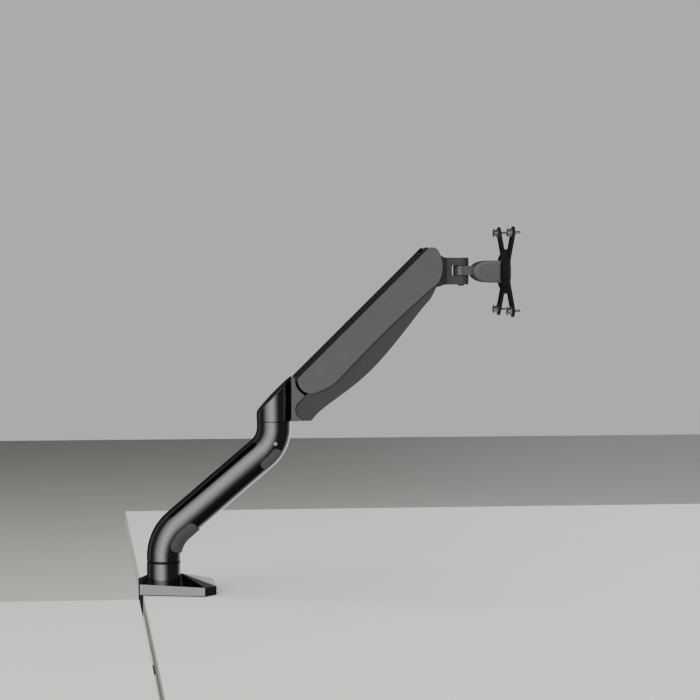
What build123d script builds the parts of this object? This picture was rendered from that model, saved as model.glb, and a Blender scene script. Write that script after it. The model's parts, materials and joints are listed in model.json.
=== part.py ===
from build123d import *
from math import cos, radians, sin, sqrt
import os

# Desk monitor arm, in millimetres. X points along the arm at rest, Z up, Y across.
# The origin is on the swivel axis at the desk surface.

# ---- driving dimensions -------------------------------------------------------------------------
run_gap = 0.05            # radial clearance of every running fit
seat_gap = 0.1            # axial clearance between faces that turn on each other
side_gap = 0.4            # clearance between side walls that slide past each other

tube_r = 22.0             # lower arm tube
post_top = 38.6           # top of the post on the base
collar_height = 2.8       # thrust collar between post and tube
arm_slope = 40.3          # slope of the straight stretch of the lower arm, degrees
elbow_x = 141.4           # elbow swivel axis
corner_low_z = 70.54      # where the post's axis meets the slope's
elbow_neck = 7.167        # straight stretch above the upper bend
bend_r_low = 52.0         # centreline radius of the lower bend
bend_r_high = 44.0        # centreline radius of the upper bend
spindle_r = 12.0
spindle_seat = 22.0       # length of the base spindle that is pressed in
elbow_seat = 18.0         # length of the elbow spindle that is pressed in
bushing_wall = 3.0
spindle_end_gap = 0.5
elbow_screw_drop = 27.4   # set screw below the top of the lower arm
base_bushing_length = 28.0
elbow_bushing_length = 32.0

base_back, base_wide, base_front = -32.0, 49.5, 65.0
base_half_back, base_half_wide, base_half_front = 29.0, 51.0, 36.0
slab_back, slab_front = 14.4, 11.7
roof_peak_x, roof_peak_z = 21.0, 24.5
pad_height = 2.0
pad_proud = 1.0
pad_inset = 3.0

bracket_wall = 4.0
bracket_half = 24.0
bracket_reach = 15.0      # how far the top leg reaches past the swivel axis
foot_reach = 30.0
throat = 98.0             # from the desk surface down to the bracket's foot
clamp_x = 8.0
clamp_thread_r = 5.0
desk_thickness = 25.0     # the desk at rest
plate_r, plate_height = 21.0, 4.0
rubber_height = 1.5
nut_r, nut_height = 10.0, 12.0
screw_length = 118.0
knob_r, knob_height, knob_lobes = 19.0, 24.0, 6

housing_proud = 0.3
housing_edge = 12.4       # slanted top of the elbow, at its left edge, above the lower arm
housing_slope = 45.9
pin_r = 4.0
spring_pin_r = 3.0
link_length = 215.5
link_rise = 44.65         # slope of the upper arm at rest, degrees
upper_pivot_out, upper_pivot_up = 45.84, 54.34
lower_pivot_out, lower_pivot_up = 38.1, 16.0

panel_top = 13.6          # from the upper pivot line up to the panel's edge
panel_end_r = 17.7
cover_wall = 2.2
panel_wall = 1.8
shell_wall = 1.9
belly_end_r = 12.5
belly_drop = 14.1         # flat of the belly cover below the lower pivot
channel_wall = 2.8
channel_half = 21.4
ear_wall = 3.2
lower_wall = 3.0
shell_gap = 0.5           # between the channel and the belly cover

spring_drop = 19.0        # spring anchor below the upper elbow pivot
spring_end = (165.0, 10.0)
spring_lean = 2.1         # lean of the spring against the arm, degrees
spring_r, spring_bore = 9.0, 7.4
spring_length = 100.0
rod_r, rod_length = 4.0, 129.0

pan_out = 43.45           # pan axis, out from the upper head pivot
head_drop = 30.488        # underside of the head bracket, below the upper head pivot
head_height = 34.8
slot_rise, slot_height = 11.7, 13.0
lug_r = 10.2
tilt_out, tilt_rise = 27.0, 16.7
tilt_r = 14.25
nose_length = 22.0        # rounded end of the tilt head's cheeks
fork_length = 23.4
fork_half, fork_wall = 17.0, 4.0
cap_height, cap_inset = 4.2, 0.7
knuckle_r = 10.5
plate_stand = 10.1        # screen face of the plate, out from the fork
vesa_wall = 3.0
hub_small_r, hub_large_r = 21.0, 29.0
vesa_wide, vesa_narrow = 100.0, 75.0
vesa_hole_r = 2.5
vesa_arm_half = 8.0
thumb_r, thumb_height = 5.5, 6.4
thumb_thread_r, thumb_reach = 2.0, 8.0

port_wall = 1.6
port_gap = 0.4
low_corner_r, high_corner_r = 8.0, 6.0


# ---- helpers ------------------------------------------------------------------------------------
def side(y):
    """A plane facing -Y whose axes are X and Z."""
    return Plane(origin=(0, y, 0), x_dir=(1, 0, 0), z_dir=(0, -1, 0))


def both_sides(inner, outer):
    """Planes for two walls, each from inner to outer, one each side of the arm."""
    return side(-inner), side(outer)


slope_dir = (cos(radians(arm_slope)), sin(radians(arm_slope)))
half_turn = radians((90 - arm_slope) / 2)
trim_low = bend_r_low * sin(half_turn) / cos(half_turn)
trim_high = bend_r_high * sin(half_turn) / cos(half_turn)
corner_high_z = corner_low_z + elbow_x * slope_dir[1] / slope_dir[0]
elbow_z = corner_high_z + trim_high + elbow_neck
upper_pivot = (elbow_x + upper_pivot_out, elbow_z + upper_pivot_up)
lower_pivot = (elbow_x + lower_pivot_out, elbow_z + lower_pivot_up)
housing_r = tube_r + housing_proud
housing_low = elbow_z + housing_edge
ear_half = channel_half - channel_wall - side_gap
lower_half = ear_half - ear_wall - 0.3
belly_half = channel_half + shell_gap + shell_wall
arm_half = belly_half + side_gap + panel_wall
along = (cos(radians(link_rise)), sin(radians(link_rise)))
upward = (-along[1], along[0])


def from_pivot(pivot, u, v):
    """The X, Z point u along the arm from a pivot and v below its pivot line."""
    return (pivot[0] + u * along[0] - v * upward[0], pivot[1] + u * along[1] - v * upward[1])


def arm(u, v):
    return from_pivot(upper_pivot, u, v)


def belly(u, v):
    return from_pivot(lower_pivot, u, v)


head_upper_pivot = arm(link_length, 0)
head_lower_pivot = belly(link_length, 0)
pan_x = head_upper_pivot[0] + pan_out
head_low = head_upper_pivot[1] - head_drop
head_high = head_low + head_height
slot_low = head_low + slot_rise
slot_high = slot_low + slot_height
tilt_x, tilt_z = pan_x + tilt_out, head_low + tilt_rise
fork_back = tilt_x + fork_length
plate_face = fork_back + plate_stand


def save(part, name):
    part.label = name
    export_step(part, f"parts/{name}.step")


os.makedirs("parts", exist_ok=True)

# ---- base ---------------------------------------------------------------------------------------
tube_start = post_top + collar_height
base_points = [
    (base_back, -base_half_back), (base_wide, -base_half_wide), (base_front, -base_half_front),
    (base_front, base_half_front), (base_wide, base_half_wide), (base_back, base_half_back),
]
peak = Vector(roof_peak_x, 0, roof_peak_z)
ridge_back = Vector(-roof_peak_x, 0, roof_peak_z - 1.2)
back_corner = Vector(base_back, -base_half_back, slab_back)
wide_corner = Vector(base_wide, -base_half_wide, slab_front)
front_corner = Vector(base_front, -base_half_front, slab_front)


def roof_plane(a, b, c):
    """The plane through three roof points, facing up."""
    normal = (b - a).cross(c - a).normalized()
    if normal.Z < 0:
        normal = normal * -1
    return Plane(origin=a, z_dir=normal)


def mirrored_point(point):
    return Vector(point.X, -point.Y, point.Z)


near_roofs = [(back_corner, wide_corner, peak), (wide_corner, front_corner, peak)]
far_roofs = [tuple(mirrored_point(p) for p in roof) for roof in near_roofs]
end_roofs = [
    (front_corner, mirrored_point(front_corner), peak),
    (back_corner, mirrored_point(back_corner), ridge_back),
]
roof_planes = [roof_plane(*roof) for roof in near_roofs + far_roofs + end_roofs]
set_screw_r = 2.5
bushing_r = spindle_r + run_gap + bushing_wall
base_bore_floor = post_top - base_bushing_length - 1.0
base_screw_z = 26.0
bracket_top = pad_height + bracket_wall
bracket_screw_r, bracket_head_r, bracket_head = 2.5, 4.5, 2.0
bracket_screw_spots = [(x, y) for x in (-20.0, 8.0) for y in (-18.0, 18.0)]

with BuildPart() as base_casting:
    with BuildSketch(Plane.XY.offset(pad_proud)):
        with BuildLine():
            Polyline(*base_points, close=True)
        make_face()
    extrude(amount=roof_peak_z + 1)
    for plane in roof_planes:
        split(bisect_by=plane, keep=Keep.BOTTOM)
    with BuildSketch(Plane.XY.offset(pad_proud)):
        Circle(tube_r)
    extrude(amount=post_top - pad_proud)
    with BuildSketch(Plane.XY.offset(pad_proud)):
        with BuildLine():
            Polyline(*base_points, close=True)
        make_face()
        offset(amount=-pad_inset, mode=Mode.REPLACE)
    extrude(amount=pad_height - pad_proud, mode=Mode.SUBTRACT)
    with BuildSketch(Plane.XY):
        with Locations(((base_back + bracket_reach) / 2, 0)):
            Rectangle(bracket_reach - base_back, 2 * bracket_half)
    extrude(amount=bracket_top, mode=Mode.SUBTRACT)
    with BuildSketch(Plane.XY.offset(base_bore_floor)):
        Circle(bushing_r)
    extrude(amount=post_top, mode=Mode.SUBTRACT)
    with BuildSketch(Plane.XY.offset(bracket_top)):
        with Locations(*bracket_screw_spots):
            Circle(bracket_screw_r)
    extrude(amount=8, mode=Mode.SUBTRACT)
    with BuildSketch(side(0)):
        with Locations((0, base_screw_z)):
            Circle(set_screw_r)
    extrude(amount=-tube_r - 1, mode=Mode.SUBTRACT)
    post_rim = base_casting.edges().filter_by(GeomType.CIRCLE).group_by(Axis.Z)[-1]
    chamfer(post_rim.sort_by(SortBy.RADIUS)[-1], 0.6)
save(base_casting.part, "base_casting")

with BuildPart() as base_pad:
    with BuildSketch(Plane.XY):
        with BuildLine():
            Polyline(*base_points, close=True)
        make_face()
        offset(amount=-pad_inset - port_gap, mode=Mode.REPLACE)
    extrude(amount=pad_height)
    split(bisect_by=Plane(origin=(base_back + bracket_wall + side_gap, 0, 0), z_dir=(1, 0, 0)), keep=Keep.TOP)
save(base_pad.part, "base_pad")

with BuildPart() as base_bushing:
    with BuildSketch(Plane.XY.offset(base_bore_floor + 1)):
        Circle(bushing_r)
        Circle(spindle_r + run_gap, mode=Mode.SUBTRACT)
    extrude(amount=base_bushing_length)
    with BuildSketch(side(0)):
        with Locations((0, base_screw_z)):
            Circle(set_screw_r)
    extrude(amount=-tube_r, mode=Mode.SUBTRACT)
save(base_bushing.part, "base_bushing")

with BuildPart() as collar_ring:
    with BuildSketch(Plane.XY.offset(post_top)):
        Circle(tube_r - 0.5)
        Circle(spindle_r + side_gap, mode=Mode.SUBTRACT)
    extrude(amount=collar_height - seat_gap)
    outer_edges = collar_ring.edges().filter_by(GeomType.CIRCLE).sort_by(SortBy.RADIUS)[-2:]
    chamfer(outer_edges, 0.4)
save(collar_ring.part, "collar_ring")


def turned_spindle(bottom, top, groove_z):
    """A spindle profile on the XZ plane, with a round groove for the set screw's tip."""
    groove = 1.5
    half = set_screw_r + 0.5
    with BuildLine() as outline:
        Polyline(
            (0, bottom), (spindle_r - 1, bottom), (spindle_r, bottom + 1),
            (spindle_r, groove_z - half), (spindle_r - groove, groove_z - half + groove),
            (spindle_r - groove, groove_z + half - groove), (spindle_r, groove_z + half),
            (spindle_r, top - 1), (spindle_r - 1, top), (0, top), close=True,
        )
    return outline


base_spindle_top = tube_start + spindle_seat
with BuildPart() as base_spindle:
    with BuildSketch(Plane.XZ):
        add(turned_spindle(base_bore_floor + 1.5, base_spindle_top, base_screw_z).line)
        make_face()
    revolve(axis=Axis.Z)
save(base_spindle.part, "base_spindle")

tip_gap = 0.4
screw_tip = spindle_r - 1.5 + tip_gap


def set_screw_profile(outer):
    """Radius and distance from the swivel axis of a set screw that ends in a blunt tip."""
    return [(0, screw_tip), (1.6, screw_tip), (set_screw_r, screw_tip + 1.4), (set_screw_r, outer), (0, outer)]


with BuildPart() as base_set_screw:
    with BuildSketch(Plane(origin=(0, 0, base_screw_z), x_dir=(1, 0, 0), z_dir=(0, 0, 1))):
        with BuildLine():
            Polyline(*set_screw_profile(tube_r - 1.0), close=True)
        make_face()
    revolve(axis=Axis((0, 0, base_screw_z), (0, 1, 0)))
    with BuildSketch(side(tube_r - 1.0)):
        with Locations((0, base_screw_z)):
            RegularPolygon(1.7, 6)
    extrude(amount=3, mode=Mode.SUBTRACT)
save(base_set_screw.part, "base_set_screw")

# ---- clamp --------------------------------------------------------------------------------------
with BuildPart() as clamp_bracket:
    with BuildSketch(side(bracket_half)):
        with BuildLine():
            Polyline(
                (base_back, bracket_top), (bracket_reach, bracket_top), (bracket_reach, pad_height),
                (base_back + bracket_wall, pad_height), (base_back + bracket_wall, -throat),
                (foot_reach, -throat), (foot_reach, -throat - bracket_wall),
                (base_back, -throat - bracket_wall), close=True,
            )
        make_face()
    extrude(amount=2 * bracket_half)
    fillet(clamp_bracket.edges().filter_by(Axis.Y).group_by(Axis.Z)[0].sort_by(Axis.X)[0], 4)
    fillet(clamp_bracket.edges().filter_by(Axis.Z).sort_by(Axis.X)[-2:], 12)
    with BuildSketch(Plane.XY.offset(pad_height)):
        with Locations(*bracket_screw_spots):
            Circle(bracket_screw_r)
    extrude(amount=bracket_wall, mode=Mode.SUBTRACT)
    with BuildSketch(Plane.XY.offset(pad_height)):
        with Locations(*bracket_screw_spots):
            Circle(bracket_head_r)
    extrude(amount=bracket_head, mode=Mode.SUBTRACT)
    with BuildSketch(Plane.XY.offset(-throat)):
        with Locations((clamp_x, 0)):
            Circle(clamp_thread_r + run_gap)
    extrude(amount=-bracket_wall, mode=Mode.SUBTRACT)
save(clamp_bracket.part, "clamp_bracket")

with BuildPart() as bracket_screws:
    with BuildSketch(Plane.XY.offset(pad_height)):
        with Locations(*bracket_screw_spots):
            Circle(bracket_head_r)
    extrude(amount=bracket_head)
    with BuildSketch(Plane.XY.offset(pad_height + bracket_head)):
        with Locations(*bracket_screw_spots):
            Circle(bracket_screw_r)
    extrude(amount=9)
    with BuildSketch(Plane.XY.offset(pad_height)):
        with Locations(*bracket_screw_spots):
            RegularPolygon(1.6, 6)
    extrude(amount=1.4, mode=Mode.SUBTRACT)
save(bracket_screws.part, "bracket_screws")

nut_top = -throat - bracket_wall
with BuildPart() as clamp_nut:
    with BuildSketch(Plane.XY.offset(nut_top)):
        with Locations((clamp_x, 0)):
            Circle(nut_r)
            Circle(clamp_thread_r + run_gap, mode=Mode.SUBTRACT)
    extrude(amount=-nut_height)
    chamfer(clamp_nut.edges().group_by(Axis.Z)[0].sort_by(SortBy.RADIUS)[-1], 1)
save(clamp_nut.part, "clamp_nut")

plate_top = -desk_thickness - rubber_height
with BuildPart() as pressure_pad:
    with BuildSketch(Plane.XY.offset(plate_top)):
        with Locations((clamp_x, 0)):
            Circle(plate_r - 1)
    extrude(amount=rubber_height)
save(pressure_pad.part, "pressure_pad")

with BuildPart() as pressure_plate:
    with BuildSketch(Plane.XY.offset(plate_top)):
        with Locations((clamp_x, 0)):
            Circle(plate_r)
    extrude(amount=-plate_height)
    chamfer(pressure_plate.edges().group_by(Axis.Z)[0], 1.2)
save(pressure_plate.part, "pressure_plate")

screw_top = plate_top - plate_height
knob_top = screw_top - screw_length
with BuildPart() as clamp_screw:
    with BuildSketch(Plane.XY.offset(screw_top)):
        with Locations((clamp_x, 0)):
            Circle(clamp_thread_r)
    extrude(amount=-screw_length - knob_height + 4)
save(clamp_screw.part, "clamp_screw")

with BuildPart() as clamp_knob:
    with BuildSketch(Plane.XY.offset(knob_top)):
        with Locations((clamp_x, 0)):
            Circle(knob_r)
            with PolarLocations(knob_r + 5, knob_lobes):
                Circle(8, mode=Mode.SUBTRACT)
    extrude(amount=-knob_height)
    fillet(clamp_knob.faces().sort_by(Axis.Z)[0].edges(), 2)
    fillet(clamp_knob.faces().sort_by(Axis.Z)[-1].edges(), 1.5)
    with BuildSketch(Plane.XY.offset(knob_top)):
        with Locations((clamp_x, 0)):
            Circle(clamp_thread_r)
    extrude(amount=-knob_height + 4, mode=Mode.SUBTRACT)
save(clamp_knob.part, "clamp_knob")

# ---- lower arm ----------------------------------------------------------------------------------
corner_low = (0.0, corner_low_z)
slope_start = (trim_low * slope_dir[0], corner_low_z + trim_low * slope_dir[1])
slope_end = (elbow_x - trim_high * slope_dir[0], corner_high_z - trim_high * slope_dir[1])
bend_low_start = (0.0, corner_low_z - trim_low)
bend_high_end = (elbow_x, corner_high_z + trim_high)
elbow_screw_z = elbow_z - elbow_screw_drop


def tube_path():
    """The centreline of the lower arm from its collar to the elbow seam."""
    with BuildLine(side(0)) as path:
        Line((0, tube_start), bend_low_start)
        TangentArc(bend_low_start, slope_start, tangent=(0, 1))
        Line(slope_start, slope_end)
        TangentArc(slope_end, bend_high_end, tangent=slope_dir)
        Line(bend_high_end, (elbow_x, elbow_z))
    return path


def ring_sector(inner, outer, low, high):
    """A sketch of a ring's sector between two angles in degrees."""
    a, b, m = radians(low), radians(high), radians((low + high) / 2)
    with BuildLine() as outline:
        Line((inner * cos(a), inner * sin(a)), (outer * cos(a), outer * sin(a)))
        ThreePointArc(*((outer * cos(t), outer * sin(t)) for t in (a, m, b)))
        Line((outer * cos(b), outer * sin(b)), (inner * cos(b), inner * sin(b)))
        ThreePointArc(*((inner * cos(t), inner * sin(t)) for t in (b, m, a)))
    return outline


def low_port_path(extra):
    """The centreline under the lower cable port, from the bend into the straight stretch."""
    start = 10.0 - extra
    centre = (bend_low_start[0] + bend_r_low, bend_low_start[1])
    first = (
        centre[0] - bend_r_low * cos(radians(start)),
        centre[1] + bend_r_low * sin(radians(start)),
    )
    run = 17.0 + extra
    last = (slope_start[0] + run * slope_dir[0], slope_start[1] + run * slope_dir[1])
    with BuildLine(side(0)) as path:
        TangentArc(first, slope_start, tangent=(sin(radians(start)), cos(radians(start))))
        Line(slope_start, last)
    return path, first, (sin(radians(start)), cos(radians(start)))


def high_port_path(extra):
    """The centreline beside the upper cable port, from the straight stretch into the bend."""
    run = 12.0 + extra
    finish = arm_slope + 20.0
    centre = (bend_high_end[0] - bend_r_high, bend_high_end[1])
    first = (slope_end[0] - run * slope_dir[0], slope_end[1] - run * slope_dir[1])
    last = (
        centre[0] + bend_r_high * sin(radians(finish)),
        centre[1] - bend_r_high * cos(radians(finish)),
    )
    with BuildLine(side(0)) as path:
        Line(first, slope_end)
        TangentArc(slope_end, last, tangent=slope_dir)
    return path, first, slope_dir


def port_plane(first, heading):
    """The section plane of the tube at a point: its x axis points across the tube, away and down."""
    return Plane(
        origin=(first[0], 0, first[1]),
        x_dir=(heading[1], 0, -heading[0]),
        z_dir=(heading[0], 0, heading[1]),
    )


low_port_half = 76.0
high_port_span = (36.0, 74.0)


def port_solid(path_data, outer, low, high, corner_r):
    """A ring sector swept along a port's centreline, with rounded corners."""
    path, first, heading = path_data
    with BuildPart() as solid:
        with BuildSketch(port_plane(first, heading)):
            add(ring_sector(tube_r - port_wall, outer, low, high).line)
            make_face()
        sweep(path=path.line)
        corners = solid.edges().filter_by(lambda edge: edge.length < outer - tube_r + port_wall + 0.3)
        fillet(corners, corner_r)
    return solid.part


high_port_spans = [(high_port_span[0], high_port_span[1]), (-high_port_span[1], -high_port_span[0])]


with BuildPart() as lower_arm:
    with BuildSketch(Plane.XY.offset(tube_start)):
        Circle(tube_r)
    sweep(path=tube_path().line)
    with BuildSketch(Plane.XY.offset(tube_start)):
        Circle(spindle_r)
    extrude(amount=spindle_seat + 2, mode=Mode.SUBTRACT)
    with BuildSketch(Plane(origin=(elbow_x, 0, elbow_z))):
        Circle(bushing_r)
    extrude(amount=-elbow_bushing_length - spindle_end_gap, mode=Mode.SUBTRACT)
    with BuildSketch(port_plane(corner_low, slope_dir)):
        Circle(tube_r - 8)
    extrude(amount=elbow_x / slope_dir[0] - 24, mode=Mode.SUBTRACT)
    with BuildSketch(side(0)):
        with Locations((elbow_x, elbow_screw_z)):
            Circle(set_screw_r)
    extrude(amount=tube_r + 1, mode=Mode.SUBTRACT)
    add(
        port_solid(low_port_path(port_gap), tube_r + 2, -low_port_half - 1, low_port_half + 1, low_corner_r),
        mode=Mode.SUBTRACT,
    )
    for low, high in high_port_spans:
        add(
            port_solid(high_port_path(port_gap), tube_r + 2, low - 0.6, high + 0.6, high_corner_r),
            mode=Mode.SUBTRACT,
        )
save(lower_arm.part, "lower_arm")

with BuildPart() as cable_port_low:
    add(port_solid(low_port_path(0), tube_r + 0.8, -low_port_half, low_port_half, low_corner_r - port_gap))
save(cable_port_low.part, "cable_port_low")

with BuildPart() as cable_ports_high:
    for low, high in high_port_spans:
        add(port_solid(high_port_path(0), tube_r + 0.5, low, high, high_corner_r - port_gap))
save(cable_ports_high.part, "cable_ports_high")

with BuildPart() as elbow_bushing:
    with BuildSketch(Plane(origin=(elbow_x, 0, elbow_z))):
        Circle(bushing_r)
        Circle(spindle_r + run_gap, mode=Mode.SUBTRACT)
    extrude(amount=-elbow_bushing_length)
    with BuildSketch(side(0)):
        with Locations((elbow_x, elbow_screw_z)):
            Circle(set_screw_r)
    extrude(amount=tube_r, mode=Mode.SUBTRACT)
save(elbow_bushing.part, "elbow_bushing")

with BuildPart() as elbow_set_screw:
    with BuildSketch(Plane(origin=(elbow_x, 0, elbow_screw_z), x_dir=(1, 0, 0), z_dir=(0, 0, -1))):
        with BuildLine():
            Polyline(*set_screw_profile(tube_r - 0.6), close=True)
        make_face()
    revolve(axis=Axis((elbow_x, 0, elbow_screw_z), (0, 1, 0)))
    with BuildSketch(side(-tube_r + 0.6)):
        with Locations((elbow_x, elbow_screw_z)):
            RegularPolygon(1.7, 6)
    extrude(amount=-3, mode=Mode.SUBTRACT)
save(elbow_set_screw.part, "elbow_set_screw")

# ---- elbow --------------------------------------------------------------------------------------
washer_height = 0.8
housing_start = elbow_z + washer_height
elbow_spindle_low = elbow_z - elbow_bushing_length + 0.2
with BuildPart() as elbow_spindle:
    with BuildSketch(Plane.XZ):
        add(turned_spindle(elbow_spindle_low, housing_start + elbow_seat, elbow_screw_z).line)
        make_face()
    revolve(axis=Axis.Z)
elbow_spindle.part = elbow_spindle.part.moved(Location((elbow_x, 0, 0)))
save(elbow_spindle.part, "elbow_spindle")

with BuildPart() as elbow_washer:
    with BuildSketch(Plane(origin=(elbow_x, 0, elbow_z))):
        Circle(tube_r - 1)
        Circle(spindle_r + side_gap, mode=Mode.SUBTRACT)
    extrude(amount=washer_height - seat_gap)
save(elbow_washer.part, "elbow_washer")

ear_lug_r = 10.8
lower_lug_r = 10.4
spring_anchor = (upper_pivot[0], upper_pivot[1] - spring_drop)
slope_vector = (cos(radians(housing_slope)), sin(radians(housing_slope)))
slant = Plane(
    origin=(elbow_x - housing_r, 0, housing_low),
    x_dir=(slope_vector[0], 0, slope_vector[1]),
    z_dir=(-slope_vector[1], 0, slope_vector[0]),
)
ear_root_x = elbow_x + 8.6
ear_outline = [
    (ear_root_x, elbow_z + 19), (lower_pivot[0] - 8.5, elbow_z + 19),
    (lower_pivot[0], lower_pivot[1] - lower_lug_r + 3),
    (lower_pivot[0] + lower_lug_r - 1, lower_pivot[1]), (upper_pivot[0] + ear_lug_r - 0.5, upper_pivot[1]),
    (upper_pivot[0] - 7, upper_pivot[1] + 7), (elbow_x + 20.6, elbow_z + 38), (ear_root_x, elbow_z + 34),
]
with BuildPart() as elbow_housing:
    with BuildSketch(Plane(origin=(elbow_x, 0, housing_start))):
        Circle(housing_r)
    extrude(amount=3 * housing_r)
    split(bisect_by=slant, keep=Keep.BOTTOM)
    with BuildSketch(*both_sides(ear_half - ear_wall, ear_half)):
        with BuildLine():
            Polyline(*ear_outline, close=True)
        make_face()
        with Locations(upper_pivot):
            Circle(ear_lug_r)
        with Locations(lower_pivot):
            Circle(lower_lug_r)
    extrude(amount=ear_wall)
    with BuildSketch(Plane(origin=(elbow_x, 0, housing_start))):
        Circle(spindle_r)
    extrude(amount=elbow_seat + 1, mode=Mode.SUBTRACT)
    with BuildSketch(side(ear_half)):
        with Locations(upper_pivot, lower_pivot):
            Circle(pin_r)
        with Locations(spring_anchor):
            Circle(spring_pin_r)
    extrude(amount=2 * ear_half, mode=Mode.SUBTRACT)
    slanted_rim = elbow_housing.edges().filter_by(GeomType.ELLIPSE)
    chamfer(slanted_rim, 0.5)
save(elbow_housing.part, "elbow_housing")

cover_left, cover_low, cover_high = elbow_x + 20.4, elbow_z + 1.6, elbow_z + 56.0
cover_right = elbow_x + 31.2
cover_wall_thick = 1.9
cover_inner = arm_half - cover_wall_thick
wrap_gap = 3.3
tip_round = 2.2
joint_end = belly(0, -belly_end_r - 0.5)
joint_far = belly(30, -belly_end_r - 0.5)
with BuildPart() as elbow_cover:
    with BuildSketch(side(arm_half)):
        with BuildLine():
            Polyline(
                (cover_left, cover_low), (cover_right, cover_low), (cover_right, lower_pivot[1]),
                joint_end, joint_far, (upper_pivot[0], cover_high), (cover_left, cover_high), close=True,
            )
        make_face()
        fillet(vertices().sort_by(Axis.X).group_by(Axis.X)[0].sort_by(Axis.Z)[-1], 3.2)
        with Locations(upper_pivot):
            Circle(panel_end_r + wrap_gap, mode=Mode.SUBTRACT)
        with Locations(lower_pivot):
            Circle(belly_end_r + 0.5, mode=Mode.SUBTRACT)
        tip = vertices().filter_by(lambda v: v.Y < lower_pivot[1] + 24).sort_by(Axis.X)[-1]
        fillet(tip, tip_round)
    extrude(amount=2 * arm_half)
    with BuildSketch(side(cover_inner)):
        with BuildLine():
            Polyline(
                (cover_left + cover_wall_thick, cover_low + cover_wall_thick),
                (cover_left + cover_wall_thick + 2.5, cover_low + cover_wall_thick),
                (cover_left + cover_wall_thick + 2.5, cover_low - 1), (cover_right + 30, cover_low - 1),
                (cover_right + 30, cover_high + 1), (upper_pivot[0] - panel_end_r - wrap_gap, cover_high + 1),
                (upper_pivot[0] - panel_end_r - wrap_gap, cover_high - cover_wall_thick),
                (cover_left + cover_wall_thick, cover_high - cover_wall_thick), close=True,
            )
        make_face()
    extrude(amount=2 * cover_inner, mode=Mode.SUBTRACT)
    with BuildSketch(Plane.YZ.offset(cover_left - 1)):
        with Locations((0, (cover_low + cover_high) / 2 - 2)):
            Rectangle(2 * (ear_half + side_gap), cover_high - cover_low - 6)
    extrude(amount=4, mode=Mode.SUBTRACT)
    with BuildSketch(Plane(origin=(elbow_x, 0, housing_start))):
        Circle(housing_r + 0.2)
    extrude(amount=60, mode=Mode.SUBTRACT)
save(elbow_cover.part, "elbow_cover")


def pin_part(centre, radius, half, rim=0.5):
    """A plain pin across the arm, chamfered at both ends."""
    with BuildPart() as pin:
        with BuildSketch(side(half)):
            with Locations(centre):
                Circle(radius)
        extrude(amount=2 * half)
        chamfer(pin.edges().filter_by(GeomType.CIRCLE), rim)
    return pin.part


save(pin_part(upper_pivot, pin_r, channel_half + 0.2), "elbow_upper_pin")
save(pin_part(lower_pivot, pin_r, ear_half), "elbow_lower_pin")
save(pin_part(spring_anchor, spring_pin_r, ear_half), "spring_pin_elbow")

# ---- upper link ---------------------------------------------------------------------------------
end_u = link_length - 11.9
bottom_v = 24.6
panel_right = (link_length + 16.8, -3.0)
panel_bottom_right = (end_u, 27.2)


def panel_outline():
    """The side panel's outline, in the arm's own directions."""
    left_u = -sqrt(panel_end_r ** 2 - panel_top ** 2)
    low = radians(-110)
    arc_end = (panel_end_r * cos(low), -panel_end_r * sin(low))
    with BuildLine(side(0)) as outline:
        ThreePointArc(arm(left_u, -panel_top), arm(-panel_end_r, 0), arm(*arc_end))
        Spline(
            arm(*arc_end), arm(8, 22.2), arm(25.7, bottom_v),
            tangents=[
                (along[0] - 0.36 * upward[0], along[1] - 0.36 * upward[1]),
                along,
            ],
        )
        ThreePointArc(arm(25.7, bottom_v), arm(0.55 * link_length, bottom_v - 1.3), arm(*panel_bottom_right))
        ThreePointArc(arm(*panel_bottom_right), arm(link_length + 8, 14.5), arm(*panel_right))
        ThreePointArc(arm(*panel_right), arm(link_length + 14.7, -10.2), arm(link_length + 7, -panel_top))
        Line(arm(link_length + 7, -panel_top), arm(left_u, -panel_top))
    return outline


boss_spots = [arm(u, -5.0) for u in (34.0, link_length / 2 + 4, link_length - 25.5)]
boss_r, panel_screw_r, panel_head_r = 3.5, 1.5, 2.6
for name, inner_face, direction in (("near", -channel_half, 1), ("far", channel_half, -1)):
    with BuildPart() as side_panel:
        with BuildSketch(side(-direction * arm_half)):
            add(panel_outline().line)
            make_face()
        extrude(amount=-direction * panel_wall)
        outside = side_panel.faces().sort_by(Axis.Y)[0 if direction > 0 else -1]
        fillet(outside.edges(), 0.7)
        with BuildSketch(side(-direction * (arm_half - panel_wall))):
            with Locations(*boss_spots):
                Circle(boss_r)
        extrude(amount=-direction * (arm_half - panel_wall - channel_half))
        with BuildSketch(side(inner_face)):
            with Locations(*boss_spots):
                Circle(panel_screw_r)
        extrude(amount=direction * (arm_half - panel_wall - channel_half), mode=Mode.SUBTRACT)
    save(side_panel.part, f"side_panel_{name}")

with BuildPart() as panel_screws:
    for direction in (1, -1):
        with BuildSketch(side(-direction * (channel_half - channel_wall))):
            with Locations(*boss_spots):
                Circle(panel_head_r)
        extrude(amount=-direction * 1.6)
        with BuildSketch(side(-direction * (channel_half - channel_wall))):
            with Locations(*boss_spots):
                Circle(panel_screw_r)
        extrude(amount=direction * (channel_wall + arm_half - panel_wall - channel_half - 0.3))
save(panel_screws.part, "panel_screws")

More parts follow.
